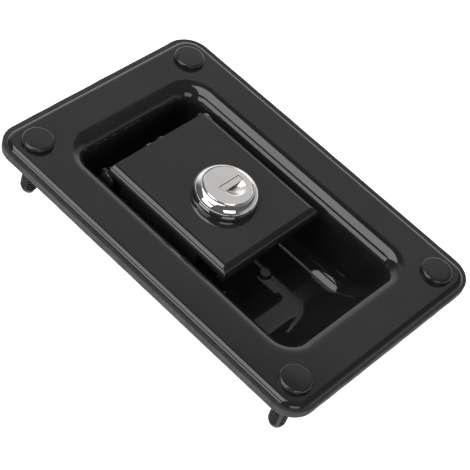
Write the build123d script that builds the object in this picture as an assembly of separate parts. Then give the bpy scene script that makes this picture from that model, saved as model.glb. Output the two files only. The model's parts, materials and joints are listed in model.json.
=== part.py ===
from build123d import *
import os
from math import cos, pi, radians, sin, sqrt

# Flush paddle latch with a key lock: a pressed steel pan with four fixed studs and a gasket, a
# sprung paddle hinged at one end of the pan, and a bevelled slam bolt on the pan's back.
# Frame: origin at the centre of the mounting plane (the gasket's back face), +Z out of the panel,
# +X towards the finger recess, the bolt leaving towards -X. All sizes are in millimetres.

# ---- driving dimensions ----
flange_length = 142.0
flange_width = 95.0
flange_corner = 7.5
flange_edge = 0.9                # bevel of the flange's outer edge
sheet = 1.5                      # pan steel
gasket_thick = 3.2
gasket_overhang = 0.75
flange_top = gasket_thick + sheet

recess_length = 104.7            # inside the pan's walls
recess_width = 60.0
recess_depth = 28.0              # flange top to floor
wall_corner = 6.0                # inside radius, in plan and at the floor
scoop_radius = 18.5              # finger scoop at the +X end
lip_radius = 3.7                 # rolled edge between flange and wall
back_bevel = 4.2                 # outside of the same corners, kept flat
under_bevel = 1.3                # outside of the rolled edge

stud_spacing_x = 123.2
stud_spacing_y = 75.3
stud_radius = 3.175
stud_reach = 23.7                # flange top to stud end
neck_radius = 3.7                # pressed into the flange, ends level with the gasket's face
stud_head_radius = 5.7
stud_head_height = 1.8
stud_head_bevel = 0.6

plate = 1.5                      # paddle, brackets and bolt housing
paddle_start = -39.1
paddle_end = 17.9
paddle_width = 49.5
paddle_top = 0.2                 # below the flange top
paddle_bend = 2.4                # outside radius of the folded edges
skirt_depth = 9.0
finger_lip_depth = 5.2

pivot_x = -38.3
pivot_depth = 6.0
pin_radius = 2.0
running_gap = 0.06
eye_radius = 3.9                 # metal round the pin in brackets and lever
paddle_lift = 30.0               # degrees
lever_reach = 28.0               # pivot to the middle of the lever's rounded tip
lever_tip_radius = 3.0
lever_width = 8.0
bolt_travel = lever_reach * radians(paddle_lift)
spring_lean = 11.5               # degrees, the upper leg's rise to the paddle's underside

bolt_width = 22.0
bolt_height = 11.0
bolt_nose = -70.0
bolt_tail = -15.0
bolt_gap = 0.4                   # bolt to the pan's underside
bolt_bevel_length = 12.0
bolt_nose_height = 2.2
housing_start = -57.0
housing_end = 9.0
bolt_side_gap = 0.3

lock_x = -6.4
lock_y = 0.0
barrel_radius = 9.5
barrel_flat = 8.3
barrel_end = 17.0                # below the flange top
plug_radius = 7.4
plug_end = 17.9
disc_radius = 8.85
disc_top = 5.5                   # above the flange top
disc_thick = 1.6
bezel_radius = 12.0
bezel_bore = 9.1
bezel_edge = 2.6                 # top of the upright side, above the flange top
bezel_crown = 10.2               # radius where the slope meets the flat top
lock_head_radius = 10.6          # head of the lock's body, under the bezel
lock_head_height = 1.4           # above the flange top
slot_start = -4.25               # key slot along Y, from the lock's axis
slot_end = 6.4
slot_width = 2.4
scoop_reach = 4.4                # half the hollow beside the slot
scoop_sink = 1.7
scoop_y = 2.0
shutter_pivot_y = -3.4
shutter_pivot_height = 4.75      # above the flange top
shutter_thick = 0.8
cam_reach = 16.5
cam_thick = 2.0
keeper_y = 20.0                  # inner face of the keeper's post

# ---- values worked out from them ----
pan_back = recess_depth + sheet
bolt_top = pan_back + bolt_gap
bolt_bottom = bolt_top + bolt_height
bolt_middle = (bolt_top + bolt_bottom) / 2
bolt_drive_x = pivot_x + lever_tip_radius + 0.2
window_start = pivot_x - lever_tip_radius - bolt_travel - 0.4
housing_floor = bolt_bottom + bolt_side_gap
paddle_under = paddle_top + plate
paddle_half = paddle_width / 2
lug_outer = paddle_half - plate - 0.35
slot_x0 = pivot_x - lever_tip_radius - 1.2
slot_x1 = pivot_x + lever_reach * sin(radians(paddle_lift)) + lever_tip_radius + 1.4
bracket_end = -14.0
window_half = lever_width / 2 + 1.0
side_rivets = [(x, s * 16.5) for x in (-37.0, -18.0) for s in (-1, 1)]
front_rivets = [(15.0, s * 8.5) for s in (-1, 1)]
rivet_radius = 1.7
rivet_sides = 12                 # rivets, stud necks and their holes are drawn with flat sides
thread_sides = 24                # and so are the lock's hidden threads and rings
wire_sides = 6                   # springs are drawn with a faceted wire
wire_steps = 9                   # straight lengths in one turn of a spring


def at(depth):
    """Height in the part's frame of a level that lies this far below the flange top."""
    return flange_top - depth


def rounded_slab(length, width, corner, top, bottom, x=0.0, y=0.0):
    """Rounded rectangle, from one depth down to another."""
    outline = RectangleRounded(length, width, corner)
    return Pos(x, y, at(bottom)) * extrude(outline, amount=bottom - top)


def block(x0, x1, y0, y1, top, bottom):
    """Plain block between two values of X, two of Y and two depths."""
    size = (x1 - x0, y1 - y0, bottom - top)
    return Pos((x0 + x1) / 2, (y0 + y1) / 2, at((top + bottom) / 2)) * Box(*size)


def post(x, y, radius, top, bottom):
    """Upright cylinder between two depths."""
    return Pos(x, y, at((top + bottom) / 2)) * Cylinder(radius, bottom - top)


def side_profile(face, y0, y1):
    """Sweep a face drawn in X and height along Y, from y0 to y1."""
    return extrude(Plane.XZ.offset(-y0) * face, amount=-(y1 - y0))


def side_outline(points):
    """Closed face through points given as X and depth, drawn for side_profile."""
    return make_face(Polyline([(x, at(depth)) for x, depth in points], close=True))


def rod_y(x, depth, radius, y0, y1):
    """Cylinder along Y."""
    return Pos(x, (y0 + y1) / 2, at(depth)) * Rot(90, 0, 0) * Cylinder(radius, y1 - y0)


def rod_x(depth, radius, x0, x1, y=0.0):
    """Cylinder along X."""
    return Pos((x0 + x1) / 2, y, at(depth)) * Rot(0, 90, 0) * Cylinder(radius, x1 - x0)


def flat_sided_post(x, y, radius, top, bottom, sides=rivet_sides):
    """Upright prism between two depths, for pressed-in shanks, hidden threads and their holes."""
    return Pos(x, y, at(bottom)) * extrude(RegularPolygon(radius, sides), amount=bottom - top)


def rivet_shank(x, y, top, bottom):
    """Shank of a rivet, and the hole that it fills."""
    return flat_sided_post(x, y, rivet_radius, top, bottom)


# ---- pan, gasket and studs ----

def recess_corners(grow):
    """Edges still to be rounded on the recess's block: flat floor, scoop at the +X end."""
    half = recess_length / 2 + grow
    floor = recess_depth + grow
    scoop = scoop_radius + grow
    turn = scoop * (1 - cos(radians(45)))
    run = Polyline((-half, at(0)), (-half, at(floor)), (half - scoop, at(floor)))
    curve = ThreePointArc(
        (half - scoop, at(floor)), (half - turn, at(floor - turn)), (half, at(floor - scoop))
    )
    close = Polyline((half, at(floor - scoop)), (half, at(0)), (-half, at(0)))
    width = recess_width / 2 + grow
    solid = side_profile(make_face([*run.edges(), curve, *close.edges()]), -width, width)
    edges = solid.edges().filter_by(lambda e: e.center().Z < at(0) - 0.01)
    side_edges = edges.filter_by(lambda e: abs(abs(e.center().Y) - width) < 0.01)
    back_edge = edges.filter_by(lambda e: e.center().Z < at(floor) + 0.01 and e.center().X < 0.01 - half)
    return side_edges + back_edge


def pan():
    flange = rounded_slab(flange_length, flange_width, flange_corner, 0, sheet)
    body = flange + chamfer(recess_corners(sheet), back_bevel)
    under = body.edges().filter_by(
        lambda e: abs(e.center().Z - at(sheet)) < 0.01 and abs(e.center().X) < recess_length / 2 + 2
        and abs(e.center().Y) < recess_width / 2 + 2
    )
    body = chamfer(under, under_bevel)
    body -= fillet(recess_corners(0), wall_corner)
    rim = body.edges().filter_by(
        lambda e: abs(e.center().Z - at(0)) < 0.01 and abs(e.center().X) < recess_length / 2 + 1
        and abs(e.center().Y) < recess_width / 2 + 1
    )
    body = fillet(rim, lip_radius)
    outer = body.edges().filter_by(
        lambda e: abs(e.center().Z - at(0)) < 0.01
        and (abs(e.center().X) > flange_length / 2 - 3 or abs(e.center().Y) > flange_width / 2 - 3)
    )
    body = chamfer(outer, flange_edge)
    for x, y in stud_places():
        body -= flat_sided_post(x, y, neck_radius, -1, sheet + 1)
    for x, y in side_rivets + front_rivets:
        body -= rivet_shank(x, y, recess_depth - 1, pan_back + 1)
    body -= rounded_slab(slot_x1 - slot_x0, 2 * window_half, 2.0, recess_depth - 1, pan_back + 1,
                         x=(slot_x0 + slot_x1) / 2)
    return body


def stud_places():
    half_x, half_y = stud_spacing_x / 2, stud_spacing_y / 2
    return [(sx * half_x, sy * half_y) for sx in (-1, 1) for sy in (-1, 1)]


def gasket():
    grow = 2 * gasket_overhang
    corner = flange_corner + gasket_overhang
    ring = rounded_slab(flange_length + grow, flange_width + grow, corner, sheet, flange_top)
    clear = 2 * (lip_radius + 1.2)
    ring -= rounded_slab(recess_length + clear, recess_width + clear, 10.5, 0, flange_top + 1)
    for x, y in stud_places():
        ring -= flat_sided_post(x, y, neck_radius + 0.3, 0, flange_top + 1)
    return ring


def corner_stud(x, y):
    """Flat round head, ribbed neck pressed into the flange, and shank behind the mounting plane."""
    head = post(x, y, stud_head_radius, -stud_head_height, 0)
    head = chamfer(head.edges().group_by(Axis.Z)[-1], stud_head_bevel)
    neck = flat_sided_post(x, y, neck_radius, 0, flange_top)
    return head + neck + post(x, y, stud_radius, flange_top, stud_reach)


def corner_studs():
    return Compound(children=[corner_stud(x, y) for x, y in stud_places()])


# ---- hinge of the paddle ----

def lug_face():
    """Side of a bracket lug: an eye round the pin, widening down to the foot."""
    eye = Pos(pivot_x, at(pivot_depth)) * Circle(eye_radius)
    gusset = make_hull([
        *eye.edges(),
        *Polyline((pivot_x - 4.0, at(recess_depth)), (-20.0, at(recess_depth)),
                  (-24.0, at(recess_depth - 6.0))).edges(),
    ])
    return gusset


def hinge_bracket():
    foot_top = recess_depth - plate
    bracket = block(slot_x0 + 0.2, bracket_end, -lug_outer, lug_outer, foot_top, recess_depth)
    bracket -= block(slot_x0 - 1, slot_x1 + 0.6, -window_half, window_half, foot_top - 1, recess_depth + 1)
    for side in (-1, 1):
        outer, inner = side * lug_outer, side * (lug_outer - plate)
        lug = side_profile(lug_face(), min(outer, inner), max(outer, inner))
        lug -= rod_y(pivot_x, pivot_depth, pin_radius, min(outer, inner) - 1, max(outer, inner) + 1)
        bracket += lug
    for x, y in side_rivets:
        bracket -= rivet_shank(x, y, foot_top - 1, recess_depth + 1)
    return bracket


def pivot_pin():
    head_face = paddle_half + 0.25
    pin = rod_y(pivot_x, pivot_depth, pin_radius, -head_face, paddle_half + 1.4)
    return pin + rod_y(pivot_x, pivot_depth, 3.1, -head_face - 1.2, -head_face)


def pin_clip():
    """Push-on ring at the pin's far end, notched round its edge."""
    ring = extrude(RegularPolygon(3.4, rivet_sides), amount=0.6)
    clip = Pos(pivot_x, paddle_half + 1.0, at(pivot_depth)) * Rot(90, 0, 0) * ring
    return clip - rod_y(pivot_x, pivot_depth, pin_radius, paddle_half, paddle_half + 2)


def rivet(x, y, top, bottom):
    """Rivet that holds everything between two depths."""
    head = Pos(x, y, at(top)) * extrude(RegularPolygon(2.8, rivet_sides), amount=1.1, taper=35)
    tail = Pos(x, y, at(bottom)) * extrude(RegularPolygon(2.4, rivet_sides), amount=-0.8, taper=25)
    return head + rivet_shank(x, y, top, bottom) + tail


def housing_rivets():
    rivets = [rivet(x, y, recess_depth - plate, pan_back + plate) for x, y in side_rivets]
    rivets += [rivet(x, y, recess_depth, pan_back + plate) for x, y in front_rivets]
    return Compound(children=rivets)


# ---- bolt and its housing ----

def bolt_housing():
    inner = bolt_width / 2 + bolt_side_gap
    outer = inner + plate
    bottom = housing_floor + plate
    body = block(housing_start, housing_end + plate, -outer, outer, pan_back, bottom)
    round_edges = body.edges().filter_by(Axis.X).group_by(Axis.Z)[0]
    body = fillet(round_edges, 2.2)
    body -= block(housing_start - 1, housing_end, -inner, inner, pan_back - 1, housing_floor)
    for side in (-1, 1):
        y0, y1 = sorted((side * (outer - 0.5), side * 20.5))
        body += block(slot_x0 + 1.0, bracket_end, y0, y1, pan_back, pan_back + plate)
    body += block(housing_end + 0.5, 20.0, -outer, outer, pan_back, pan_back + plate)
    body -= block(housing_start - 1, slot_x0 + 1.0, -outer - 1, outer + 1, pan_back - 1, bolt_top + 1.2)
    for x, y in side_rivets + front_rivets:
        body -= rivet_shank(x, y, pan_back - 1, pan_back + plate + 1)
    body -= staked_end(2.2, housing_end - 1, housing_end + plate + 1)
    return body - block(-12.0, 4.0, -4.5, 4.5, housing_floor - 1, bottom + 1)


def slam_bolt():
    half = bolt_width / 2
    bevel_x = bolt_nose + bolt_bevel_length
    outline = side_outline([
        (bolt_nose, bolt_top), (bolt_tail, bolt_top), (bolt_tail, bolt_bottom),
        (bevel_x, bolt_bottom), (bolt_nose, bolt_top + bolt_nose_height),
    ])
    bolt = side_profile(outline, -half, half)
    nose = bolt.edges().filter_by(Axis.Y).group_by(Axis.X)[0]
    bolt = fillet(nose, 0.6)
    window_wall = lever_width / 2 + 0.5
    bolt -= block(window_start, bolt_drive_x, -window_wall, window_wall, bolt_top - 1, bolt_bottom + 1)
    bolt -= rod_x(bolt_middle, 4.2, bolt_tail - 14.0, bolt_tail + 1)
    return bolt


def staked_end(radius, x0, x1):
    """Flat-sided stretch of the spring's rod, and the hole that holds it."""
    return Pos(x0, 0, at(bolt_middle)) * Rot(0, 90, 0) * extrude(
        RegularPolygon(radius, rivet_sides), amount=x1 - x0)


def spring_rod():
    """Guide of the bolt's spring, staked in the housing's end wall."""
    wall_end = housing_end + plate
    rod = rod_x(bolt_middle, 2.2, -12.0, housing_end)
    return rod + staked_end(2.2, housing_end, wall_end) + staked_end(3.4, wall_end, wall_end + 1.2)


def coil_points(radius, length, turns):
    """Points of a helix along +Z that starts at the origin's +X side."""
    steps = turns * wire_steps
    angles = [2 * pi * step / wire_steps for step in range(steps + 1)]
    return [
        (radius * cos(angle), radius * sin(angle), length * step / steps)
        for step, angle in enumerate(angles)
    ]


def wire_along(points, wire):
    """Faceted wire through points, mitred at each of them."""
    path = Polyline(points)
    section = Plane(origin=path @ 0, z_dir=path % 0) * RegularPolygon(wire / 2, wire_sides)
    return sweep(section, path=path, transition=Transition.RIGHT)


def bolt_spring():
    start = bolt_tail - 14.0 + 0.6
    length = housing_end - start - 0.6
    return Pos(start, 0, at(bolt_middle)) * Rot(0, 90, 0) * wire_along(coil_points(3.3, length, 8), 0.9)


# ---- paddle and its lever ----

def lock_hole(radius, flat, top, bottom):
    """Round hole with two flats, on the lock's axis."""
    round_hole = post(lock_x, lock_y, radius, top, bottom)
    return round_hole & block(lock_x - flat, lock_x + flat, -20, 20, top, bottom)


def paddle_block(inset, bend, bottom):
    """Outside of the folded cover, or its inside when inset by the sheet."""
    shape = block(paddle_start - 10, paddle_end - inset, inset - paddle_half, paddle_half - inset,
                  paddle_top + inset, bottom)
    top_edges = shape.edges().group_by(Axis.Z)[-1].filter_by(lambda e: e.center().X > paddle_start - 6)
    return fillet(top_edges, bend)


def skirt_face():
    """Side of the paddle: ear round the pin, deep skirt, shallow finger lip."""
    ear = Pos(pivot_x, at(pivot_depth)) * Circle(4.2)
    skirt = side_outline([
        (paddle_start, paddle_top), (paddle_end, paddle_top), (paddle_end, finger_lip_depth),
        (paddle_end - 3.0, finger_lip_depth), (paddle_end - 13.0, skirt_depth),
        (pivot_x + 6.0, skirt_depth), (pivot_x, pivot_depth + 4.2), (pivot_x, pivot_depth),
        (paddle_start, pivot_depth - 3.5),
    ])
    return skirt + ear


def paddle_cover():
    shell = paddle_block(0, paddle_bend, 14.0) - paddle_block(plate, paddle_bend - plate, 15.0)
    shell &= side_profile(skirt_face(), -paddle_half - 1, paddle_half + 1)
    shell -= rod_y(pivot_x, pivot_depth, pin_radius + running_gap, -paddle_half - 1, paddle_half + 1)
    return shell - lock_hole(barrel_radius + 0.1, barrel_flat + 0.1, -1, paddle_under + 1)


def lever_cheek_face():
    """Side of the lever: eye round the pin, arm to the rounded tip, brace to the weld plate."""
    eye = Pos(pivot_x, at(pivot_depth)) * Circle(eye_radius)
    tip = Pos(pivot_x, at(pivot_depth + lever_reach)) * Circle(lever_tip_radius)
    arm = make_hull([*eye.edges(), *tip.edges()])
    brace = side_outline([
        (pivot_x + 2.0, paddle_under + 1.0), (-21.5, paddle_under + 1.0), (-21.5, paddle_under + 3.0),
        (pivot_x + 3.2, pivot_depth + 9.0), (pivot_x, pivot_depth),
    ])
    return arm + brace


def lift_lever():
    half = lever_width / 2
    plate_start = pivot_x + 4.2
    lever = block(plate_start, -21.5, -9.0, 9.0, paddle_under, paddle_under + plate)
    for side in (-1, 1):
        y0, y1 = sorted((side * half, side * (half - 2.0)))
        cheek = side_profile(lever_cheek_face(), y0, y1)
        cheek -= block(pivot_x - 6, plate_start, -9, 9, 0, pivot_depth - eye_radius)
        lever += cheek
    hole = rod_y(pivot_x, pivot_depth, pin_radius + running_gap, -half - 1, half + 1)
    web = block(pivot_x + 1.0, pivot_x + lever_tip_radius - 0.05, 1.5 - half, half - 1.5,
                pivot_depth + 9.0, pivot_depth + 22.0)
    return lever + web - hole


def paddle_spring(side):
    """Torsion spring on the pin: one leg under the paddle, the other on the bracket's foot."""
    turns, wire, radius, length = 4, 1.1, 2.95, 6.0
    outer_end = lever_width / 2 + 1.6 + length
    lean = radians(spring_lean)
    to_paddle = (radius + 12.0 * cos(lean), -12.0 * sin(lean), 0.0)
    to_foot = (radius, 19.4, -length)
    spring = wire_along([to_paddle, *coil_points(radius, -length, turns), to_foot], wire)
    spring = Pos(pivot_x, outer_end, at(pivot_depth)) * Rot(-90, 0, 0) * spring
    return spring if side > 0 else mirror(spring, about=Plane.XZ)


def paddle_springs():
    return Compound(children=[paddle_spring(side) for side in (-1, 1)])


# ---- key lock ----

def lathe(points):
    """Turned piece on the lock's axis, from radius and height above the flange top."""
    outline = make_face(Polyline([(r, flange_top + h) for r, h in points], close=True))
    return Pos(lock_x, lock_y, 0) * revolve(Plane.XZ * outline, axis=Axis.Z)


def thread_post(radius, top, bottom):
    """Prism on the lock's axis, for threads and rings that the bezel and paddle hide."""
    return flat_sided_post(lock_x, lock_y, radius, top, bottom, thread_sides)


def lock_body():
    body = thread_post(lock_head_radius, -lock_head_height, paddle_top)
    body += thread_post(barrel_radius, paddle_top, barrel_end)
    body -= post(lock_x, lock_y, plug_radius + 0.05, -5, barrel_end + 1)
    cheek = block(lock_x + barrel_flat, lock_x + 20, -20, 20, paddle_top, barrel_end + 1)
    body -= cheek
    return body - mirror(cheek, about=Plane.YZ.offset(lock_x))


def lock_bezel():
    """Domed chrome ring that covers the lock's head and frames the plug's face."""
    ring = lathe([
        (bezel_bore, -paddle_top), (bezel_radius, -paddle_top), (bezel_radius, bezel_edge),
        (bezel_crown, disc_top), (bezel_bore, disc_top),
    ])
    return ring - thread_post(lock_head_radius + 0.2, -lock_head_height - 0.2, 5)


def lock_washer():
    ring = thread_post(11.6, paddle_under, paddle_under + 0.6)
    return ring - thread_post(barrel_radius + 0.15, 0, 10)


def lock_nut():
    top = paddle_under + 0.6
    height = 3.0
    hexagon = RegularPolygon(radius=22.0 / sqrt(3), side_count=6, rotation=30)
    nut = Pos(lock_x, lock_y, at(top + height)) * extrude(hexagon, amount=height)
    return nut - thread_post(barrel_radius + 0.1, 0, 10)


def key_slot(bottom):
    """Slot for the key, from the plug's face down to a depth."""
    half = slot_width / 2
    return block(lock_x - half, lock_x + half, slot_start, slot_end, -disc_top - 1, bottom)


def lock_plug():
    under_disc = disc_top - disc_thick
    plug = lathe([
        (0, -plug_end), (plug_radius, -plug_end), (plug_radius, under_disc),
        (disc_radius, under_disc), (disc_radius, disc_top), (0, disc_top),
    ])
    plug -= key_slot(16.0)
    plug += block(lock_x - 2.8, lock_x + 2.8, -2.8, 2.8, plug_end, plug_end + cam_thick)
    plug -= flat_sided_post(lock_x, lock_y, 1.7, plug_end - 1.5, plug_end + 5)
    plug -= thumb_scoop()
    plug -= shutter_pin(0.42, 2.2)
    for depth in wafer_depths():
        plug -= block(lock_x - 2.2, lock_x + 2.2, -6.6, 6.6, depth - 0.5, depth + 0.5)
    return plug


def shutter_pin(radius, reach):
    """The shutter's eight-sided pin, and the hole that it turns in."""
    pin = extrude(RegularPolygon(radius, 8), amount=reach, both=True)
    return Pos(lock_x, shutter_pivot_y, flange_top + shutter_pivot_height) * Rot(0, 90, 0) * pin


def thumb_scoop():
    """Shallow round hollow beside the slot, where the key's tip finds the flap."""
    edge = lock_x + slot_width / 2
    dish = Pos(edge, scoop_y, flange_top + disc_top) * Cone(
        scoop_reach / 3, scoop_reach, scoop_sink, align=(Align.CENTER, Align.CENTER, Align.MAX))
    return dish & block(edge - 0.1, edge + 8, -10, 10, -disc_top - 1, 0)


def wafer_depths():
    return [6.4 + 2.0 * step for step in range(5)]


def lock_wafers():
    wafers = []
    for step, depth in enumerate(wafer_depths()):
        shift = 0.15 * (step % 2)
        wafer = block(lock_x - 2.1, lock_x + 2.1, -6.4 + shift, 6.2 + shift, depth - 0.42, depth + 0.42)
        window = block(lock_x - 1.25, lock_x + 1.25, -4.6, 4.9, depth - 1, depth + 1)
        wafers.append(wafer - window)
    return Compound(children=wafers)


def lock_cam():
    hub = Circle(6.4)
    reach = Pos(cam_reach - 4.0, 0) * Circle(4.0)
    outline = make_hull([*hub.edges(), *reach.edges()])
    cam = Pos(lock_x, lock_y, at(plug_end + cam_thick)) * extrude(outline, amount=cam_thick)
    return cam - block(lock_x - 2.85, lock_x + 2.85, -2.85, 2.85, plug_end - 1, plug_end + 5)


def cam_screw():
    """Hexagon screw that holds the cam on the plug's square end."""
    under_head = plug_end + cam_thick
    head = extrude(RegularPolygon(7.0 / sqrt(3), 6), amount=-2.4)
    shank = flat_sided_post(lock_x, lock_y, 1.65, plug_end - 1.2, under_head)
    return Pos(lock_x, lock_y, at(under_head)) * head + shank


def key_shutter():
    """Sprung flap that closes the key slot flush with the plug's face."""
    half = slot_width / 2 - 0.1
    height = flange_top + shutter_pivot_height
    knuckle = disc_top - shutter_pivot_height
    flap = block(lock_x - half, lock_x + half, shutter_pivot_y, slot_end - 0.12,
                 -disc_top, shutter_thick - disc_top)
    barrel = Pos(lock_x, shutter_pivot_y, height) * Rot(0, 90, 0) * Cylinder(knuckle, 2 * half)
    return flap + barrel + shutter_pin(0.35, 2.0)


# ---- lock keeper ----

def keeper():
    """C-shaped catch welded to the pan's floor: the cam turns in under its tongue."""
    x0, x1 = lock_x - 6.0, lock_x + 6.0
    tongue_under = plug_end - 0.6
    outline = [
        (11.0, recess_depth), (keeper_y + plate, recess_depth),
        (keeper_y + plate, tongue_under - plate), (11.0, tongue_under - plate),
        (11.0, tongue_under), (keeper_y, tongue_under), (keeper_y, recess_depth - plate),
        (11.0, recess_depth - plate),
    ]
    face = make_face(Polyline([(y, at(depth)) for y, depth in outline], close=True))
    body = extrude(Plane.YZ.offset(x0) * face, amount=x1 - x0)
    folds = body.edges().filter_by(Axis.X).filter_by(lambda e: e.center().Y > keeper_y + 1)
    return fillet(folds, 1.4)


parts = {
    "pan": pan,
    "gasket": gasket,
    "corner_studs": corner_studs,
    "hinge_bracket": hinge_bracket,
    "pivot_pin": pivot_pin,
    "pin_clip": pin_clip,
    "bolt_housing": bolt_housing,
    "housing_rivets": housing_rivets,
    "slam_bolt": slam_bolt,
    "spring_rod": spring_rod,
    "bolt_spring": bolt_spring,
    "paddle_cover": paddle_cover,
    "lift_lever": lift_lever,
    "paddle_springs": paddle_springs,
    "lock_body": lock_body,
    "lock_bezel": lock_bezel,
    "lock_washer": lock_washer,
    "lock_nut": lock_nut,
    "lock_plug": lock_plug,
    "lock_wafers": lock_wafers,
    "lock_cam": lock_cam,
    "cam_screw": cam_screw,
    "key_shutter": key_shutter,
    "keeper": keeper,
}

os.makedirs("parts", exist_ok=True)
for name, make in parts.items():
    export_step(make(), f"parts/{name}.step")
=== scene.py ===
import json
from math import acos, cos, pi, radians, sin, sqrt

import bmesh
import bpy
from mathutils import Matrix, Vector
from mathutils.noise import noise as noise_value


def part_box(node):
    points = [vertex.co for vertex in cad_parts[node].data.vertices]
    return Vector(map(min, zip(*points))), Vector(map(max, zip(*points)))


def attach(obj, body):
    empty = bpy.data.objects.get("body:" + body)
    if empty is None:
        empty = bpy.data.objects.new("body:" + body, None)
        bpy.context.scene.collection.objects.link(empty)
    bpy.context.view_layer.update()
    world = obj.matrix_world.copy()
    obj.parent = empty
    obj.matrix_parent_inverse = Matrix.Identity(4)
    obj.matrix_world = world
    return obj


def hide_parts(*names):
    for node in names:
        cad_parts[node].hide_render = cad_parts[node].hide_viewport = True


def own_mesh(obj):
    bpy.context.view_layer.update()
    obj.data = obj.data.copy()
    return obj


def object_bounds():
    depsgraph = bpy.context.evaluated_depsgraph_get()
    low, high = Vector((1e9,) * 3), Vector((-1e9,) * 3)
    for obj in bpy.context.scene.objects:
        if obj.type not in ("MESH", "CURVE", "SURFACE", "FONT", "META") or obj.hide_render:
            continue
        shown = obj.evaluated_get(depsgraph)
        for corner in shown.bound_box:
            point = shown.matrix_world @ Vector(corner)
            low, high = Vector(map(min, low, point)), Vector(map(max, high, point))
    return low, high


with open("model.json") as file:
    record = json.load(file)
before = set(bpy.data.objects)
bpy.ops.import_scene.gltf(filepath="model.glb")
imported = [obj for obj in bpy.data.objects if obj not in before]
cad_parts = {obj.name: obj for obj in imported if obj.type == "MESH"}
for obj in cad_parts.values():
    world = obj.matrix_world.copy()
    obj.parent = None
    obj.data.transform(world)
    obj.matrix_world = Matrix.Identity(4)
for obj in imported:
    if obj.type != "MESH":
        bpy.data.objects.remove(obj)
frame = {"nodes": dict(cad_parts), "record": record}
cad_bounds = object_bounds()
nodes = frame["nodes"]
mm = 0.001

# ---- places read from the frame ----
pan_low, pan_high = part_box("pan")
stud_low, stud_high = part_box("corner_studs")
gasket_low, gasket_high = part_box("gasket")
plug_low, plug_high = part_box("lock_plug")
bezel_low, bezel_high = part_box("lock_bezel")
paddle_low, paddle_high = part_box("paddle_cover")
pin_low, pin_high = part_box("pivot_pin")
spring_low, spring_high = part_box("bolt_spring")
flange_top = pan_high.z
lock_x = (bezel_low.x + bezel_high.x) / 2
pivot_x = (pin_low.x + pin_high.x) / 2
pivot_z = (pin_low.z + pin_high.z) / 2

# ---- sizes shared by several pieces ----
fine_cut = 1e-7
sharp_from = radians(35)
sheet = 1.5 * mm
round_steps = 12

# ---- sizes of the pan ----
flange_corner = 7.5 * mm
edge_drop = 1.4 * mm
edge_turn = radians(62)
edge_steps = 9
recess_length = 101.3 * mm
recess_width = 55.3 * mm
recess_floor = pan_low.z + sheet
wall_corner = 6.0 * mm
scoop_radius = 18.5 * mm
scoop_steps = 10
lip_radius = 7.0 * mm
lip_clearance = 0.5 * mm
slot_low = -42.5 * mm
slot_high = -19.9 * mm
slot_width = 10.0 * mm
slot_corner = 2.0 * mm
slot_corner_steps = 4

# ---- sizes of the gasket ----
gasket_reach = {"+x": 1.0 * mm, "-x": 2.1 * mm, "+y": 2.35 * mm, "-y": 1.25 * mm}
gasket_clearance = 0.35 * mm
gasket_edge = 0.35 * mm
gasket_edge_steps = 3
gasket_cuts = 120
foam_waver = 0.10 * mm
# depths below the gasket's top over which its colour darkens into painted shade
top_shade_band = (0.30 * mm, 0.05 * mm)

# ---- sizes of the studs ----
stud_head_radius = 5.7 * mm
head_rounding = 0.9 * mm
stud_radius = 3.175 * mm
stud_chamfer = 0.5 * mm
thread_pitch = 1.27 * mm
thread_depth = 0.6 * mm
thread_root = 0.1 * mm
thread_start = -0.4 * mm
thread_turns = 14
thread_steps = 24
thread_run_out = 1.6 * mm
thread_crest = (0.42, 0.58)

# ---- sizes of the paddle ----
paddle_back = -39.1 * mm
paddle_fold = 3.2 * mm
fold_steps = 9
ear_radius = 4.2 * mm
skirt_back = -32.3 * mm
skirt_front = 4.9 * mm
skirt_depth = 9.0 * mm
lip_start = 14.9 * mm
lip_depth = 5.2 * mm
lock_hole = 9.6 * mm
lock_flat = 8.4 * mm
sheet_ease = 0.25 * mm
sheet_edge_angle = radians(50)

# ---- sizes of the bezel, its heights being above the flange ----
bezel_gap = 0.15 * mm
bezel_foot_round = 0.35 * mm
bezel_straight = 1.1 * mm
bezel_dome = 4.2 * mm
bezel_dome_height = 1.35 * mm
bezel_dome_end = 66
bezel_rim_round = 0.28 * mm
bezel_rim_drop = 0.55 * mm
bezel_hollow = 10.8 * mm
bezel_hollow_height = 1.6 * mm

# ---- sizes of the plug ----
disc_radius = 8.85 * mm
disc_chamfer = 0.25 * mm
disc_depth = 1.6 * mm
barrel_radius = 7.4 * mm
barrel_end = flange_top - 17.9 * mm
square_end = 5.6 * mm
square_overlap = 0.2 * mm
slot_left = lock_x - 1.38 * mm
slot_right = lock_x + 1.2 * mm
slot_ends = (-3.5 * mm, 6.5 * mm)
slot_lip = 0.15 * mm
slot_lip_end = 0.6 * mm
slot_hinge_room = 0.8 * mm
slot_depth = 11.0 * mm
dish_y = 1.5 * mm
dish_radius = 4.6 * mm
dish_depth = 1.35 * mm
dish_power = 1.2
dish_grid = 0.25 * mm
dish_cells = 20

# ---- sizes of the pin and of the bolt's spring ----
pin_head_radius = 3.1 * mm
pin_head_height = 1.2 * mm
pin_dome = 0.8 * mm
pin_radius = 2.0 * mm
pin_groove_radius = 1.5 * mm
pin_groove = (1.0 * mm, 0.4 * mm)
pin_chamfer = 0.2 * mm
wire = 0.9 * mm
wire_sides = 12
spring_turns = 8
spring_steps = 32

# ---- camera ----
camera_place = Vector((0.1793, -0.3272, 0.3971))
camera_aim = Vector((0.0081, -0.0099, flange_top))
camera_roll = radians(20.39)
camera_lens = 120.3

# ---- light: what a perfect mirror would see, 1 being white ----
backdrop_light = 0.475
low_backdrop_light = 0.52
sweep_light = 0.36
backdrop_fade = (0.745, 0.825)
low_backdrop_fade = (0.40, 0.56)
sweep_fade = (0.30, 0.50)
corner_fade = (-0.22, -0.04)
far_side_fade = (-0.15, 0.35)
room_light = 0.11
stage_glow = 0.75
soft_light = 0.45


# ---- mesh helpers ----

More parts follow.
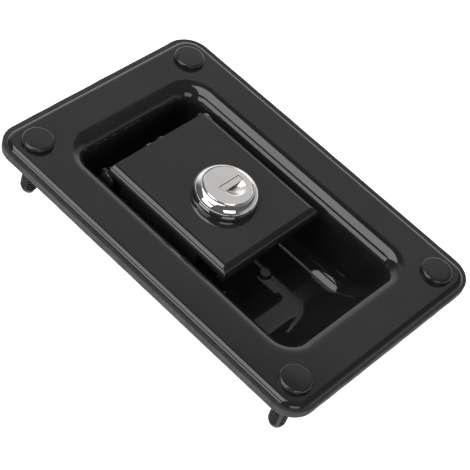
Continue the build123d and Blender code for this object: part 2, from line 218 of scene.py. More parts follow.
def mesh_piece(bm, name, body, slot, node):
    """Turns a finished bmesh into a piece that rides on a body and stands for a node."""
    mesh = bpy.data.meshes.new(name)
    bmesh.ops.recalc_face_normals(bm, faces=bm.faces)
    bm.to_mesh(mesh)
    bm.free()
    mesh.materials.append(finishes[slot])
    mesh.polygons.foreach_set("use_smooth", [True] * len(mesh.polygons))
    mesh.set_sharp_from_angle(angle=sharp_from)
    piece = bpy.data.objects.new(name, mesh)
    bpy.context.scene.collection.objects.link(piece)
    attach(piece, body)
    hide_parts(node)
    return piece


def join_points(bm, points, close=False):
    """Chain of edges through points."""
    verts = [bm.verts.new(point) for point in points]
    pairs = list(zip(verts, verts[1:]))
    if close:
        pairs.append((verts[-1], verts[0]))
    return verts, [bm.edges.new(pair) for pair in pairs]


def turned(bm, outline, centre=(0.0, 0.0), steps=72, close=False):
    """Spins an outline of radius and height about an upright axis."""
    x, y = centre
    verts, edges = join_points(bm, [(x + radius, y, height) for radius, height in outline], close)
    bmesh.ops.spin(bm, geom=verts + edges, cent=(x, y, 0), axis=(0, 0, 1), angle=2 * pi,
                   steps=steps, use_merge=True)
    bmesh.ops.remove_doubles(bm, verts=bm.verts, dist=fine_cut)


def arc(centre, radius, start, end, steps):
    """Points of an arc in an outline, angles in degrees."""
    angles = [radians(start + (end - start) * step / steps) for step in range(steps + 1)]
    return [(centre[0] + radius * cos(a), centre[1] + radius * sin(a)) for a in angles]


def rounded_rectangle(bm, length, width, corner, height, centre=(0.0, 0.0), steps=round_steps):
    """Face with rounded corners, lying flat."""
    place = Matrix.Translation((*centre, height)) @ Matrix.Diagonal((length, width, 1, 1))
    made = bmesh.ops.create_grid(bm, x_segments=1, y_segments=1, size=0.5, matrix=place)
    before = set(bm.faces) - {face for vert in made["verts"] for face in vert.link_faces}
    round_off(bm, made["verts"], corner, steps, affect="VERTICES")
    return next(face for face in bm.faces if face not in before)


def round_off(bm, geom, radius, steps=round_steps, affect="EDGES"):
    """Bevel with a round profile."""
    bmesh.ops.bevel(bm, geom=geom, offset=radius, offset_type="OFFSET", segments=steps, profile=0.5,
                    affect=affect, material=-1, clamp_overlap=False)


def edges_where(bm, test):
    """Edges both of whose ends pass a test on their place."""
    return [edge for edge in bm.edges if all(test(vert.co) for vert in edge.verts)]


def with_rims(faces):
    """Faces with their edges and corners, as the cutting operator wants them."""
    edges = {edge for face in faces for edge in face.edges}
    return [*faces, *edges, *{vert for face in faces for vert in face.verts}]


def near(first, second):
    """Whether two measures agree to a hundredth of a millimetre."""
    return abs(first - second) < 0.01 * mm


def keep_flat(piece):
    """Keeps a piece's flat faces flat where they run into rounded ones."""
    normals = piece.modifiers.new("flat_faces", "WEIGHTED_NORMAL")
    normals.keep_sharp = True


def new_verts(geom):
    """The vertices among what an operator made."""
    return [item for item in geom if isinstance(item, bmesh.types.BMVert)]


def new_edges(geom):
    """The edges among what an operator made."""
    return [item for item in geom if isinstance(item, bmesh.types.BMEdge)]


def cut_across(bm, faces, place, outwards, keep_all=True):
    """Cuts faces along a plane, and clears what lies outside it unless all is kept."""
    bmesh.ops.bisect_plane(bm, geom=with_rims(faces), dist=fine_cut, plane_co=place, plane_no=outwards,
                           clear_outer=not keep_all)


# ---- shader effects shared by the finishes ----

def effect_group(name, inputs, outputs):
    """Empty node group with named sockets: inputs with their values, outputs with their kinds."""
    group = bpy.data.node_groups.new(name, "ShaderNodeTree")
    for label, value in inputs.items():
        socket = group.interface.new_socket(label, in_out="INPUT", socket_type="NodeSocketFloat")
        socket.default_value = value
    for label, kind in outputs.items():
        group.interface.new_socket(label, in_out="OUTPUT", socket_type=kind)
    return group, group.nodes.new("NodeGroupInput"), group.nodes.new("NodeGroupOutput")


def feed(tree, socket, value):
    """Gives a socket a number, or links it to another socket."""
    if isinstance(value, bpy.types.NodeSocket):
        tree.links.new(value, socket)
    else:
        socket.default_value = value


def ramp_between(tree, value, given, wanted, smooth=True):
    """Turns the stretch between two given levels of a value into the one between two wanted levels."""
    spread = tree.nodes.new("ShaderNodeMapRange")
    spread.interpolation_type = "SMOOTHSTEP" if smooth else "LINEAR"
    for label, level in zip(("From Min", "From Max", "To Min", "To Max"), (*given, *wanted)):
        feed(tree, spread.inputs[label], level)
    tree.links.new(value, spread.inputs["Value"])
    return spread.outputs["Result"]


def combine(tree, operation, first, second):
    """Result of a sum on two values, each a socket or a number."""
    step = tree.nodes.new("ShaderNodeMath")
    step.operation = operation
    for socket, value in zip(step.inputs, (first, second)):
        feed(tree, socket, value)
    return step.outputs["Value"]


def noise(tree, scale, detail):
    """Noise on the object's own coordinates. Scale is a socket or a number."""
    place = tree.nodes.new("ShaderNodeTexCoord")
    texture = tree.nodes.new("ShaderNodeTexNoise")
    texture.inputs["Detail"].default_value = detail
    texture.inputs["Roughness"].default_value = 0.5
    tree.links.new(place.outputs["Object"], texture.inputs["Vector"])
    feed(tree, texture.inputs["Scale"], scale)
    return texture.outputs["Fac"]


def bumps(tree, height, distance, result):
    """Turns a height into a normal, and gives it to a socket."""
    bump = tree.nodes.new("ShaderNodeBump")
    tree.links.new(height, bump.inputs["Height"])
    tree.links.new(distance, bump.inputs["Distance"])
    tree.links.new(bump.outputs["Normal"], result)


def orange_peel_group():
    """Soft waves of a thick gloss coat, as a normal."""
    group, given, result = effect_group(
        "orange_peel", {"Scale": 350.0, "Height": 0.00002}, {"Normal": "NodeSocketVector"})
    waves = noise(group, given.outputs["Scale"], 1.0)
    bumps(group, waves, given.outputs["Height"], result.inputs["Normal"])
    return group


def grain_group():
    """Fine grain of a metal or rubber surface, as a normal, and its value for the roughness."""
    group, given, result = effect_group(
        "fine_grain", {"Scale": 2500.0, "Height": 0.00001, "Least": 0.2, "Most": 0.4},
        {"Normal": "NodeSocketVector", "Roughness": "NodeSocketFloat"})
    grain = noise(group, given.outputs["Scale"], 3.0)
    bumps(group, grain, given.outputs["Height"], result.inputs["Normal"])
    limits = (given.outputs["Least"], given.outputs["Most"])
    rough = ramp_between(group, noise(group, 90.0, 4.0), (0.3, 0.7), limits, smooth=False)
    group.links.new(rough, result.inputs["Roughness"])
    return group


def tint_group():
    """Slow change between two shades, as a mask."""
    group, given, result = effect_group("slow_tint", {"Scale": 60.0}, {"Mask": "NodeSocketFloat"})
    clouds = noise(group, given.outputs["Scale"], 3.0)
    mask = ramp_between(group, clouds, (0.35, 0.65), (0.0, 1.0), smooth=False)
    group.links.new(mask, result.inputs["Mask"])
    return group


orange_peel = orange_peel_group()
fine_grain = grain_group()
slow_tint = tint_group()


# ---- finishes ----

def finish(name, metallic=0.0, **constants):
    """Material with its Principled shader and the constants set straight on its sockets."""
    material = bpy.data.materials.new(name)
    material.use_nodes = True
    shader = material.node_tree.nodes["Principled BSDF"]
    shader.inputs["Metallic"].default_value = metallic
    for label, value in constants.items():
        shader.inputs[label.replace("_", " ")].default_value = value
    return material, material.node_tree, shader


def use_group(tree, group, **values):
    """Puts an effect into a material, with its own values."""
    made = tree.nodes.new("ShaderNodeGroup")
    made.node_tree = group
    for label, value in values.items():
        made.inputs[label].default_value = value
    return made


def two_shades(tree, mask, first, second):
    """Colour that changes between two shades with a mask. A shade is a socket or three numbers."""
    mix = tree.nodes.new("ShaderNodeMix")
    mix.data_type = "RGBA"
    for label, shade in (("A", first), ("B", second)):
        feed(tree, mix.inputs[label], (*shade, 1) if isinstance(shade, (tuple, list)) else shade)
    tree.links.new(mask, mix.inputs["Factor"])
    return mix.outputs["Result"]


def two_tone(tree, shader, mask, first, second):
    """Base colour that changes between two shades with a mask."""
    tree.links.new(two_shades(tree, mask, first, second), shader.inputs["Base Color"])


def coated(name, shade, peel_scale, peel_height, least, most):
    """Gloss black coat: orange peel, and a roughness that changes a little."""
    material, tree, shader = finish(name)
    peel = use_group(tree, orange_peel, Scale=peel_scale, Height=peel_height)
    grain = use_group(tree, fine_grain, Scale=3000.0, Height=0.0, Least=least, Most=most)
    tint = use_group(tree, slow_tint, Scale=40.0)
    two_tone(tree, shader, tint.outputs["Mask"], shade, [value * 1.3 for value in shade])
    tree.links.new(peel.outputs["Normal"], shader.inputs["Normal"])
    tree.links.new(grain.outputs["Roughness"], shader.inputs["Roughness"])
    return material


def bare_metal(name, first, second, least, most, grain_scale=2500.0, grain_height=0.000004):
    """Plated or bare metal with fine grain and a slow change of shade."""
    material, tree, shader = finish(name, metallic=1.0)
    grain = use_group(tree, fine_grain, Scale=grain_scale, Height=grain_height, Least=least, Most=most)
    tint = use_group(tree, slow_tint, Scale=120.0)
    two_tone(tree, shader, tint.outputs["Mask"], first, second)
    tree.links.new(grain.outputs["Normal"], shader.inputs["Normal"])
    tree.links.new(grain.outputs["Roughness"], shader.inputs["Roughness"])
    return material


def foam_rubber():
    """Closed-cell foam: a paler cut side, and a top band darkened with painted shade."""
    material, tree, shader = finish("foam_rubber")
    grain = use_group(tree, fine_grain, Scale=1800.0, Height=0.0003, Least=0.75, Most=0.95)
    tint = use_group(tree, slow_tint, Scale=500.0)
    cut_side = two_shades(tree, tint.outputs["Mask"], (0.048, 0.044, 0.041), (0.078, 0.071, 0.066))
    # painted shade: the darker shades of the gasket's top band
    top_shade = two_shades(tree, tint.outputs["Mask"], (0.016, 0.015, 0.015), (0.024, 0.023, 0.022))
    place = tree.nodes.new("ShaderNodeTexCoord")
    split = tree.nodes.new("ShaderNodeSeparateXYZ")
    tree.links.new(place.outputs["Object"], split.inputs["Vector"])
    # the top band, fading in over these depths, takes the painted shade
    top_shade_depth = (gasket_high.z - top_shade_band[0], gasket_high.z - top_shade_band[1])
    in_top_shade = ramp_between(tree, split.outputs["Z"], top_shade_depth, (0.0, 1.0), smooth=False)
    two_tone(tree, shader, in_top_shade, cut_side, top_shade)
    tree.links.new(grain.outputs["Normal"], shader.inputs["Normal"])
    tree.links.new(grain.outputs["Roughness"], shader.inputs["Roughness"])
    return material


finishes = {
    "black_coated_steel": coated("black_coated_steel", (0.009, 0.009, 0.0093), 260.0, 0.000007, 0.04, 0.08),
    "foam_rubber": foam_rubber(),
    "black_stud_steel": coated("black_stud_steel", (0.011, 0.011, 0.011), 500.0, 0.00001, 0.10, 0.18),
    "zinc_steel": bare_metal("zinc_steel", (0.62, 0.62, 0.60), (0.52, 0.54, 0.56), 0.28, 0.42),
    "spring_steel": bare_metal("spring_steel", (0.42, 0.42, 0.43), (0.32, 0.32, 0.33), 0.22, 0.34),
    "rivet_steel": bare_metal("rivet_steel", (0.58, 0.58, 0.57), (0.46, 0.47, 0.48), 0.25, 0.38),
    "bolt_steel": bare_metal("bolt_steel", (0.56, 0.56, 0.55), (0.45, 0.46, 0.47), 0.24, 0.36),
    "lock_zinc": bare_metal("lock_zinc", (0.60, 0.59, 0.57), (0.50, 0.49, 0.47), 0.30, 0.45),
    "bezel_chrome": bare_metal("bezel_chrome", (0.86, 0.86, 0.87), (0.82, 0.82, 0.83), 0.03, 0.06,
                               grain_height=0.0000005),
    "plug_face_metal": bare_metal("plug_face_metal", (0.97, 0.94, 0.92), (0.92, 0.89, 0.87), 0.19, 0.26),
    "wafer_brass": bare_metal("wafer_brass", (0.72, 0.53, 0.26), (0.60, 0.42, 0.20), 0.25, 0.40),
}


def dress_frame():
    """Gives each node of the frame the finish of its slot in the record."""
    for part in frame["record"]["subparts"]:
        mesh = nodes[part["node"]].data
        mesh.materials.clear()
        mesh.materials.append(finishes[part["material_slot"]])


dress_frame()


# ---- pan ----

def add_recess(bm):
    """Open box with rounded corners and a scooped end. Returns the edges of its mouth."""
    size = (recess_length, recess_width, flange_top - recess_floor)
    place = Matrix.Translation((0, 0, (flange_top + recess_floor) / 2)) @ Matrix.Diagonal((*size, 1))
    bmesh.ops.create_cube(bm, size=1.0, matrix=place)
    mouth = max(bm.faces, key=lambda face: face.calc_center_median().z)
    bmesh.ops.delete(bm, geom=[mouth], context="FACES_ONLY")
    mouth_edges = set(edges_where(bm, lambda co: near(co.z, flange_top)))
    round_off(bm, [edge for edge in bm.edges if edge not in mouth_edges], wall_corner)
    raise_scoop(bm)
    return edges_where(bm, lambda co: near(co.z, flange_top))


def raise_scoop(bm):
    """Bends the floor up into the wall at the +X end, with the side corners kept round."""
    start, corner = recess_length / 2 - scoop_radius, recess_length / 2 - wall_corner
    for step in range(scoop_steps):
        cut = start + (corner - start) * step / scoop_steps
        low = [face for face in bm.faces if face.calc_center_median().z < recess_floor + 0.9 * wall_corner]
        cut_across(bm, low, (cut, 0, 0), (1, 0, 0))
    for vert in bm.verts:
        along = vert.co.x - start
        if along <= 0 or near(vert.co.z, flange_top):
            continue
        lift = scoop_radius - sqrt(max(scoop_radius ** 2 - along ** 2, 0.0))
        end_reach = max(vert.co.x - corner, 0.0)
        side_reach = max(abs(vert.co.y) - recess_width / 2 + wall_corner, 1e-6)
        side_share = side_reach ** 2 / (end_reach ** 2 + side_reach ** 2)
        room = (flange_top - recess_floor - lift - lip_radius - lip_clearance) / wall_corner
        vert.co.z = recess_floor + lift + (vert.co.z - recess_floor) * side_share * min(room, 1.0)


def cut_lever_slot(bm):
    """Slot in the floor that the lever works through."""
    level = [face for face in bm.faces if near(face.calc_center_median().z, recess_floor)]
    floor = max(level, key=lambda face: face.calc_area())
    rim = list(floor.edges)
    bmesh.ops.delete(bm, geom=[floor], context="FACES_ONLY")
    middle, length = (slot_low + slot_high) / 2, slot_high - slot_low
    slot = rounded_rectangle(bm, length, slot_width, slot_corner, recess_floor, (middle, 0),
                             slot_corner_steps)
    slot_edges = list(slot.edges)
    bmesh.ops.delete(bm, geom=[slot], context="FACES_ONLY")
    bmesh.ops.triangle_fill(bm, edges=rim + slot_edges, use_beauty=True)


def face_up(bm):
    """Turns a sheet's faces so that the flange looks up, since the sheet grows away from them."""
    bmesh.ops.recalc_face_normals(bm, faces=bm.faces)
    flange = max(bm.faces, key=lambda face: (face.calc_center_median().z, face.calc_area()))
    if flange.normal.z < 0:
        bmesh.ops.reverse_faces(bm, faces=bm.faces)


def on_outline(edge):
    """Edge between the flange's top and its upright outer edge."""
    rises = sorted(abs(face.normal.z) for face in edge.link_faces)
    return rises[0] < 0.5 < rises[-1] and len(rises) == 2


def ease_edge(bm):
    """Draws the quarter round of the outer edge out into a wider, flatter one."""
    radius = edge_drop / (1 - cos(edge_turn))
    inner_x, inner_y = pan_high.x - flange_corner, pan_high.y - flange_corner
    for vert in bm.verts:
        drop = flange_top - vert.co.z
        x, y = vert.co.x, vert.co.y
        centre = Vector((max(-inner_x, min(inner_x, x)), max(-inner_y, min(inner_y, y))))
        out = Vector((x, y)) - centre
        if out.length < flange_corner - edge_drop - 0.01 * mm or drop > edge_drop + 0.01 * mm:
            continue
        turn = acos(max(-1.0, min(1.0, 1 - drop / edge_drop))) * edge_turn / (pi / 2)
        inset = radius * (sin(edge_turn) - sin(turn))
        place = centre + out.normalized() * (flange_corner - inset)
        vert.co = (place.x, place.y, flange_top - radius * (1 - cos(turn)))


def make_pan():
    """Pressed sheet: flange, rolled lip and recess, then its thickness and its rounded outer edge."""
    bm = bmesh.new()
    mouth = add_recess(bm)
    cut_lever_slot(bm)
    flange = rounded_rectangle(bm, pan_high.x - pan_low.x, pan_high.y - pan_low.y, flange_corner,
                               flange_top)
    outline = list(flange.edges)
    bmesh.ops.delete(bm, geom=[flange], context="FACES_ONLY")
    bmesh.ops.bridge_loops(bm, edges=mouth + outline)
    round_off(bm, mouth, lip_radius)
    face_up(bm)
    bmesh.ops.solidify(bm, geom=bm.faces[:], thickness=sheet)
    outer_edge = [edge for edge in edges_where(bm, lambda co: near(co.z, flange_top)) if on_outline(edge)]
    round_off(bm, outer_edge, edge_drop, edge_steps)
    ease_edge(bm)
    keep_flat(mesh_piece(bm, "pressed_pan", "root", "black_coated_steel", "pan"))


make_pan()


# ---- gasket ----

def gasket_loop(bm, length, width, corner, centre):
    """Outline with rounded corners and finely divided straight sides."""
    face = rounded_rectangle(bm, length, width, corner, gasket_low.z, centre)
    loop = list(face.edges)
    bmesh.ops.delete(bm, geom=[face], context="FACES_ONLY")
    sides = [edge for edge in loop if edge.calc_length() > 4 * mm]
    cut = bmesh.ops.subdivide_edges(bm, edges=sides, cuts=gasket_cuts)
    return list({*loop, *new_edges(cut["geom_split"])})


def make_gasket():
    """Foam ring under the flange, a little larger than it and cut by hand, so its edge wavers."""
    bm = bmesh.new()
    length = 2 * pan_high.x + gasket_reach["+x"] + gasket_reach["-x"]
    width = 2 * pan_high.y + gasket_reach["+y"] + gasket_reach["-y"]
    shift_x = (gasket_reach["+x"] - gasket_reach["-x"]) / 2
    shift_y = (gasket_reach["+y"] - gasket_reach["-y"]) / 2
    outer = gasket_loop(bm, length, width, flange_corner + gasket_reach["-x"], (shift_x, shift_y))
    room = 2 * (lip_radius + gasket_clearance)
    inner = gasket_loop(bm, recess_length + room, recess_width + room, wall_corner + lip_radius, (0.0, 0.0))
    ring = bmesh.ops.bridge_loops(bm, edges=outer + inner)["faces"]
    raised = bmesh.ops.extrude_face_region(bm, geom=ring)
    bmesh.ops.translate(bm, verts=new_verts(raised["geom"]), vec=(0, 0, gasket_high.z - gasket_low.z))
    bmesh.ops.recalc_face_normals(bm, faces=bm.faces)
    rims = [edge for edge in bm.edges if abs(edge.calc_face_angle(0.0)) > radians(60)]
    round_off(bm, rims, gasket_edge, gasket_edge_steps)
    for vert in bm.verts:
        if near(vert.co.z, gasket_low.z):
            continue
        waver = foam_waver * (noise_value(vert.co * 180) + 0.4 * noise_value(vert.co * 900))
        flat = Vector((vert.co.x, vert.co.y, 0)).normalized()
        vert.co += flat * waver
    mesh_piece(bm, "foam_gasket", "root", "foam_rubber", "gasket")


make_gasket()


# ---- studs ----

def stud_places():
    """Centres of the four studs."""
    reach_x = (stud_high.x - stud_low.x) / 2 - stud_head_radius
    reach_y = (stud_high.y - stud_low.y) / 2 - stud_head_radius
    return [(sx * reach_x, sy * reach_y) for sx in (-1, 1) for sy in (-1, 1)]


def add_head(bm, x, y):
    """Flat round head with a rolled edge, standing on the flange."""
    top = stud_high.z
    edge = arc((stud_head_radius - head_rounding, top - head_rounding), head_rounding, 0, 90, 8)
    foot = [(0, flange_top), (stud_head_radius, flange_top)]
    turned(bm, foot + edge + [(0, top)], (x, y), steps=64)


def add_thread(bm, x, y):
    """Core with a helical ridge that runs out at the tip."""
    core, tip = stud_radius - thread_depth, stud_low.z
    turned(bm, [(0, flange_top), (core, flange_top), (core, tip + stud_chamfer), (core - stud_chamfer, tip),
                (0, tip)], (x, y), steps=32)
    root, crest = x + core - thread_root, x + stud_radius
    ridge = [(root, y, thread_start), *((crest, y, thread_start - at * thread_pitch) for at in thread_crest),
             (root, y, thread_start - thread_pitch)]
    profile = bm.faces.new([bm.verts.new(point) for point in ridge])
    geom = [profile, *profile.edges, *profile.verts]
    before = set(bm.verts) - set(profile.verts)
    bmesh.ops.spin(bm, geom=geom, cent=(x, y, 0), axis=(0, 0, 1), angle=thread_turns * 2 * pi,
                   dvec=(0, 0, -thread_pitch / thread_steps), steps=thread_turns * thread_steps)
    for vert in set(bm.verts) - before:
        left = (vert.co.z - tip) / thread_run_out
        reach = Vector((vert.co.x - x, vert.co.y - y))
        limit = core - thread_root / 2 + thread_depth * max(left, 0.0)
        if left < 1 and reach.length > limit:
            reach = reach.normalized() * limit
            vert.co.x, vert.co.y = x + reach.x, y + reach.y


def make_studs():
    """Four studs in the flange's corners."""
    bm = bmesh.new()
    for x, y in stud_places():
        add_head(bm, x, y)
        add_thread(bm, x, y)
    mesh_piece(bm, "threaded_studs", "root", "black_stud_steel", "corner_studs")


make_studs()


# ---- paddle ----

def trim(bm, low, high, place, outwards):
    """Cuts away what lies outside a plane, among the faces between two places along the paddle."""
    faces = [face for face in bm.faces if low < face.calc_center_median().x < high]
    cut_across(bm, faces, place, outwards, keep_all=False)


def fold_box(bm):
    """Open box with folded edges: the flat top, two skirts and the finger lip."""
    size = paddle_high - paddle_low
    middle = (paddle_high + paddle_low) / 2
    bmesh.ops.create_cube(bm, size=1.0, matrix=Matrix.Translation(middle) @ Matrix.Diagonal((*size, 1)))
    open_sides = [face for face in bm.faces if face.normal.z < -0.5 or face.normal.x < -0.5]
    bmesh.ops.delete(bm, geom=open_sides, context="FACES_ONLY")
    top_edges = edges_where(bm, lambda co: near(co.z, paddle_high.z))
    folds = [edge for edge in top_edges if len(edge.link_faces) == 2]
    round_off(bm, folds, paddle_fold, fold_steps)


def shape_skirts(bm):
    """Cuts the skirts to their outline: an ear round the pin, a straight run, and a rise to the lip."""
    for place in (paddle_back, pivot_x, skirt_back, skirt_front, lip_start):
        cut_across(bm, bm.faces[:], (place, 0, 0), (1, 0, 0))
    behind = [face for face in bm.faces if face.calc_center_median().x < paddle_back
              and face.calc_center_median().z > paddle_high.z - paddle_fold]
    bmesh.ops.delete(bm, geom=behind, context="FACES")
    lip_foot, skirt_foot = flange_top - lip_depth, flange_top - skirt_depth
    rise = Vector((lip_foot - skirt_foot, 0, skirt_front - lip_start)).normalized()
    fall = Vector((pivot_z - ear_radius - skirt_foot, 0, pivot_x - skirt_back)).normalized()
    trim(bm, lip_start, paddle_high.x + mm, (0, 0, lip_foot), (0, 0, -1))
    trim(bm, skirt_front, lip_start, (skirt_front, 0, skirt_foot), rise)
    trim(bm, skirt_back, skirt_front, (0, 0, skirt_foot), (0, 0, -1))
    trim(bm, pivot_x, skirt_back, (skirt_back, 0, skirt_foot), fall)
    # the ear is cut by planes that touch its round, from above its back end to below the pin
    for step in range(12):
        angle = radians(97.5 + 15 * step)
        outwards = Vector((cos(angle), 0, sin(angle)))
        touch = Vector((pivot_x, 0, pivot_z)) + ear_radius * outwards
        trim(bm, paddle_low.x - mm, paddle_back if angle < pi else pivot_x, touch, outwards)


def cut_lock_hole(bm):
    """Round hole with two flats, in the stretch of the top that holds the lock."""
    tops = [face for face in bm.faces if near(face.calc_center_median().z, paddle_high.z)]
    stretch = min(tops, key=lambda face: abs(face.calc_center_median().x - lock_x))
    rim = list(stretch.edges)
    bmesh.ops.delete(bm, geom=[stretch], context="FACES_ONLY")
    place = Matrix.Translation((lock_x, 0, paddle_high.z))
    ring = bmesh.ops.create_circle(bm, segments=64, radius=lock_hole, matrix=place)["verts"]
    for vert in ring:
        vert.co.x = max(lock_x - lock_flat, min(lock_x + lock_flat, vert.co.x))
    hole = list({edge for vert in ring for edge in vert.link_edges})
    bmesh.ops.triangle_fill(bm, edges=rim + hole, use_beauty=True)


def make_paddle():
    """Cover folded from sheet: the top with its lock hole, two skirts with ears, and the finger lip."""
    bm = bmesh.new()
    fold_box(bm)
    shape_skirts(bm)
    cut_lock_hole(bm)
    face_up(bm)
    bmesh.ops.solidify(bm, geom=bm.faces[:], thickness=sheet)
    piece = mesh_piece(bm, "folded_paddle", "paddle", "black_coated_steel", "paddle_cover")
    edges = piece.modifiers.new("cut_edges", "BEVEL")
    edges.width = sheet_ease
    edges.segments = 2
    edges.angle_limit = sheet_edge_angle
    keep_flat(piece)


make_paddle()


# ---- lock head ----

def make_bezel():
    """Chrome ring: a low straight foot, then a full dome up to the rim round the plug."""
    bm = bmesh.new()
    foot, crown = bezel_low.z, bezel_high.z
    inner, outer = disc_radius + bezel_gap, bezel_high.x - lock_x
    edge = arc((outer - bezel_foot_round, foot + bezel_foot_round), bezel_foot_round, -90, 0, 4)
    dome = arc((outer - bezel_dome, flange_top + bezel_dome_height), bezel_dome, 0, bezel_dome_end, 14)
    rim = arc((inner + bezel_rim_round, crown - bezel_rim_drop), bezel_rim_round, 90, 180, 4)
    ledge = flange_top + bezel_hollow_height
    turned(bm, [(bezel_hollow, foot), *edge, (outer, flange_top + bezel_straight), *dome, *rim,
                (inner, ledge), (bezel_hollow, ledge)], (lock_x, 0), 96, close=True)
    mesh_piece(bm, "domed_bezel", "paddle", "bezel_chrome", "lock_bezel")


def next_ring(bm, edges, radius, height):
    """Draws a loop of edges out to a new radius and height about the lock's axis."""
    made = bmesh.ops.extrude_edge_only(bm, edges=edges)["geom"]
    for vert in new_verts(made):
        reach = Vector((vert.co.x - lock_x, vert.co.y)).normalized() * radius
        vert.co = (lock_x + reach.x, reach.y, height)
    return new_edges(made)


def add_plug_face(bm):
    """Round face cut into fine strips, with the key slot left out. Returns its rim and the slot's."""
    place = Matrix.Translation((lock_x, 0, plug_high.z))
    bmesh.ops.create_circle(bm, cap_ends=True, segments=96, radius=disc_radius - disc_chamfer, matrix=place)
    for row in (*slot_ends, *(dish_y + dish_grid * step for step in range(-dish_cells, dish_cells + 1))):
        cut_across(bm, bm.faces[:], (0, row, 0), (0, 1, 0))
    for column in (slot_left, *(slot_right + dish_grid * step for step in range(dish_cells + 1))):
        cut_across(bm, bm.faces[:], (column, 0, 0), (1, 0, 0))
    rim = [edge for edge in bm.edges if len(edge.link_faces) == 1]
    slot = [face for face in bm.faces if slot_left < face.calc_center_median().x < slot_right
            and slot_ends[0] < face.calc_center_median().y < slot_ends[1]]
    bmesh.ops.delete(bm, geom=slot, context="FACES")
    slot_rim = [edge for edge in bm.edges if len(edge.link_faces) == 1 and edge not in set(rim)]
    for vert in bm.verts:
        reach = Vector((vert.co.x - slot_right, vert.co.y - dish_y)).length / dish_radius
        if vert.co.x > slot_right - 0.01 * mm and reach < 1:
            vert.co.z -= dish_depth * (1 - reach ** 2) ** dish_power
    return rim, slot_rim


def sink_slot(bm, rim):
    """Walls and floor of the key slot, with a thin lip over the flap's round hinge end."""
    for drop, room in ((slot_lip, 0.0), (slot_lip_end, slot_hinge_room), (slot_depth, 0.0)):
        made = bmesh.ops.extrude_edge_only(bm, edges=rim)["geom"]
        for vert in new_verts(made):
            vert.co.z = min(plug_high.z - drop, vert.co.z - 0.1 * mm)
            vert.co.y -= room if near(vert.co.y, slot_ends[0]) else 0.0
        rim = new_edges(made)
    bmesh.ops.contextual_create(bm, geom=rim)


def make_plug():
    """Plug with its flush face, the key slot, the thumb dish beside it and the square end."""
    bm = bmesh.new()
    rim, slot_rim = add_plug_face(bm)
    sink_slot(bm, slot_rim)
    shoulder = plug_high.z - disc_depth
    for radius, height in ((disc_radius, plug_high.z - disc_chamfer), (disc_radius, shoulder),
                           (barrel_radius, shoulder), (barrel_radius, barrel_end)):
        rim = next_ring(bm, rim, radius, height)
    bmesh.ops.contextual_create(bm, geom=rim)
    size = (square_end, square_end, barrel_end - plug_low.z + square_overlap)
    place = Matrix.Translation((lock_x, 0, plug_low.z + size[2] / 2)) @ Matrix.Diagonal((*size, 1))
    bmesh.ops.create_cube(bm, size=1.0, matrix=place)
    mesh_piece(bm, "slotted_plug", "plug", "plug_face_metal", "lock_plug")


make_bezel()
make_plug()


# ---- pin and bolt spring ----

def lay_along(bm, axis, centre):
    """Turns an upright piece so that its axis lies along another one, and moves it into place."""
    turn = Vector((0, 0, 1)).rotation_difference(Vector(axis)).to_matrix().to_4x4()
    bmesh.ops.transform(bm, matrix=Matrix.Translation(centre) @ turn, verts=bm.verts)


def make_pin():
    """Hinge pin with a domed head, a groove for its clip and a chamfered end."""
    bm = bmesh.new()
    start, end = pin_low.y, pin_high.y
    neck = start + pin_head_height
    groove_start, groove_end = (end - place for place in pin_groove)
    dome = [(pin_head_radius * sin(radians(turn)), start + pin_dome * (1 - cos(radians(turn))))
            for turn in range(0, 91, 10)]
    turned(bm, [*dome, (pin_head_radius, neck), (pin_radius, neck), (pin_radius, groove_start),
                (pin_groove_radius, groove_start), (pin_groove_radius, groove_end),
                (pin_radius, groove_end), (pin_radius, end - pin_chamfer),
                (pin_radius - pin_chamfer, end), (0, end)], steps=48)
    lay_along(bm, (0, 1, 0), (pivot_x, 0, pivot_z))
    mesh_piece(bm, "domed_pin", "root", "black_stud_steel", "pivot_pin")


def make_bolt_spring():
    """Helix of round wire, with a mesh of its own."""
    bm = bmesh.new()
    height = (spring_low.z + spring_high.z) / 2
    length = spring_high.x - spring_low.x
    pitch = (length - wire) / spring_turns
    coil = (spring_high.z - spring_low.z - wire) / 2
    place = Matrix.Translation((coil, 0, 0)) @ Matrix.Rotation(pi / 2, 4, "X")
    bmesh.ops.create_circle(bm, cap_ends=True, segments=wire_sides, radius=wire / 2, matrix=place)
    bmesh.ops.spin(bm, geom=[*bm.faces, *bm.edges, *bm.verts], cent=(0, 0, 0), axis=(0, 0, 1),
                   angle=spring_turns * 2 * pi, dvec=(0, 0, pitch / spring_steps),
                   steps=spring_turns * spring_steps)
    lay_along(bm, (1, 0, 0), (spring_low.x + wire / 2, 0, height))
    piece = mesh_piece(bm, "coiled_bolt_spring", "root", "spring_steel", "bolt_spring")
    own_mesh(piece)


make_pin()
make_bolt_spring()


# ---- stage ----

def stage_material():
    """White to the camera and to mirrors, pale to the light, with the object's shadow."""
    material, tree, shader = finish("stage_white", Base_Color=(0.85, 0.85, 0.85, 1), Roughness=0.9,
                                    Emission_Color=(1, 1, 1, 1))
    rays = tree.nodes.new("ShaderNodeLightPath")
    seen = combine(tree, "MAXIMUM", rays.outputs["Is Camera Ray"], rays.outputs["Is Transmission Ray"])
    seen = combine(tree, "MAXIMUM", seen, rays.outputs["Is Glossy Ray"])
    tree.links.new(combine(tree, "MULTIPLY", seen, stage_glow), shader.inputs["Emission Strength"])
    return material


def make_floor():
    """Wide floor just below the object's lowest point."""
    bm = bmesh.new()
    bmesh.ops.create_grid(bm, x_segments=1, y_segments=1, size=3.0)
    mesh = bpy.data.meshes.new("floor")
    bm.to_mesh(mesh)
    bm.free()
    mesh.materials.append(stage_material())
    floor = bpy.data.objects.new("floor", mesh)
    floor.location.z = cad_bounds[0][2] - 0.3 * mm
    bpy.context.scene.collection.objects.link(floor)


make_floor()


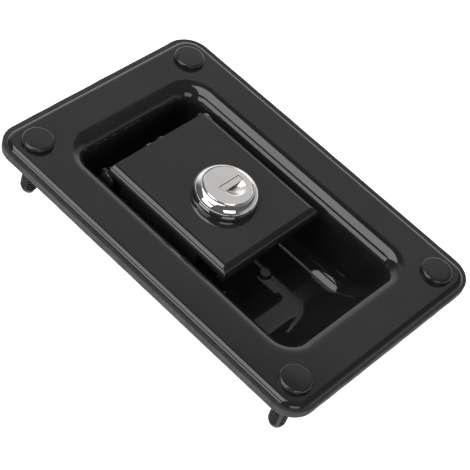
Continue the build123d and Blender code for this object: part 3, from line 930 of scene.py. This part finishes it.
def make_world():
    """Plain white to the eye. Mirrors see a pale backdrop on the far side and a dim room above it."""
    world = bpy.data.worlds.new("studio")
    bpy.context.scene.world = world
    world.use_nodes = True
    tree = world.node_tree
    paint = tree.nodes["Background"]
    rays = tree.nodes.new("ShaderNodeLightPath")
    place = tree.nodes.new("ShaderNodeTexCoord")
    split = tree.nodes.new("ShaderNodeSeparateXYZ")
    tree.links.new(place.outputs["Generated"], split.inputs["Vector"])
    across, along, up = split.outputs["X"], split.outputs["Y"], split.outputs["Z"]
    low_part = ramp_between(tree, up, low_backdrop_fade, (low_backdrop_light, 0.0))
    high_part = ramp_between(tree, up, backdrop_fade, (backdrop_light, 0.0))
    backdrop = combine(tree, "MULTIPLY", combine(tree, "ADD", low_part, high_part),
                       ramp_between(tree, across, corner_fade, (1.0, 0.0)))
    sweep = combine(tree, "MULTIPLY", ramp_between(tree, up, sweep_fade, (sweep_light, 0.0)),
                    ramp_between(tree, across, corner_fade, (0.0, 1.0)))
    far_side = ramp_between(tree, along, far_side_fade, (0.0, 1.0))
    lit = combine(tree, "ADD", backdrop, sweep)
    mirrored = combine(tree, "ADD", combine(tree, "MULTIPLY", lit, far_side), room_light)
    glossy = combine(tree, "MULTIPLY", rays.outputs["Is Glossy Ray"], mirrored)
    direct = combine(tree, "ADD", rays.outputs["Is Camera Ray"], glossy)
    soft = combine(tree, "MULTIPLY", rays.outputs["Is Diffuse Ray"], soft_light)
    tree.links.new(combine(tree, "ADD", direct, soft), paint.inputs["Strength"])
    paint.inputs["Color"].default_value = (1, 1, 1, 1)


make_world()


def area_lamp(name, place, aim, size, radiance):
    """Soft rectangular lamp, its power worked out from how bright its face is."""
    lamp = bpy.data.lights.new(name, "AREA")
    lamp.shape = "RECTANGLE"
    lamp.size, lamp.size_y = size
    lamp.energy = radiance * pi * size[0] * size[1]
    holder = bpy.data.objects.new(name, lamp)
    holder.location = place
    holder.rotation_euler = (Vector(aim) - Vector(place)).to_track_quat("-Z", "Y").to_euler()
    bpy.context.scene.collection.objects.link(holder)


# name, place, the point it is aimed at, size, radiance
lamps = (
    ("top_softbox", (-0.28, -0.22, 0.70), (-0.28, -0.22, 0.0), (0.60, 0.62), 3.9),
    ("front_softbox", (-0.22, -0.66, 0.38), (-0.02, -0.05, 0.0), (0.50, 0.30), 3.6),
    ("side_card", (0.45, -0.24, 0.34), (0.0, 0.0, 0.0), (0.36, 0.24), 2.6),
)
for lamp in lamps:
    area_lamp(*lamp)


def make_camera():
    """Camera at its place, turned about its own axis by the roll."""
    lens = bpy.data.cameras.new("camera")
    lens.lens = camera_lens
    lens.clip_start = 0.01
    camera = bpy.data.objects.new("camera", lens)
    look = (camera_aim - camera_place).to_track_quat("-Z", "Y").to_matrix().to_4x4()
    camera.matrix_world = Matrix.Translation(camera_place) @ look @ Matrix.Rotation(camera_roll, 4, "Z")
    bpy.context.scene.collection.objects.link(camera)
    bpy.context.scene.camera = camera


make_camera()
bpy.context.scene.view_settings.view_transform = "Standard"
